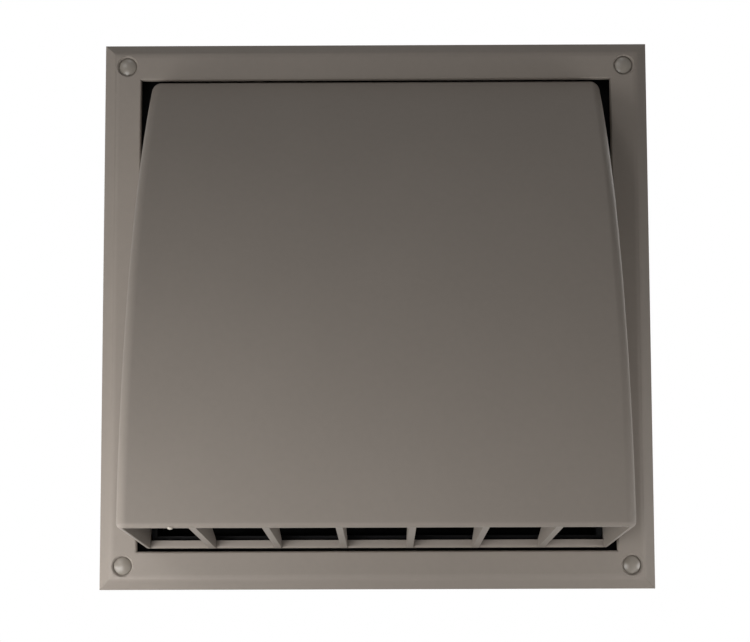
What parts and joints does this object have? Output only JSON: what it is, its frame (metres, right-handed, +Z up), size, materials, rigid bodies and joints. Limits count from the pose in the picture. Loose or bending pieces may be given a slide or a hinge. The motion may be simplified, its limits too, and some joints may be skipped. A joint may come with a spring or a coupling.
{
  "type": "wall vent",
  "caption": "Square wall vent: framed duct base with a round spigot, clip-on curved hood open through ribs underneath, and a gravity flap on a rod inside.",
  "frame": {"origin": "centre of the duct spigot where it meets the wall's face", "axes": "+Z up the wall, +Y into the wall along the spigot, +X to the right as seen from in front"},
  "size_m": [0.205, 0.15, 0.205],
  "materials": {
    "housing": "warm grey moulded plastic with a fine matt texture",
    "base": "black moulded plastic",
    "flap": "dark grey moulded plastic",
    "steel": "plain stainless steel",
    "foam": "closed-cell foam with a skin"
  },
  "bodies": {
    "housing": {"face_frame": "housing", "hood": "housing", "duct_base": "base", "wall_gasket": "foam", "flap_seal": "foam", "hinge_rod": "steel", "wall_screws": "steel", "screw_cap_top_left": "housing", "screw_cap_top_right": "housing", "screw_cap_bottom_left": "housing", "screw_cap_bottom_right": "housing"},
    "flap": {"backdraught_flap": "flap"}
  },
  "joints": [
    {"name": "flap_hinge", "type": "hinge", "parent": "housing", "child": "flap", "pos_m": [0, -0.007, 0.0795], "axis": [-1, 0, 0], "range_deg": [0, 28]}
  ]
}
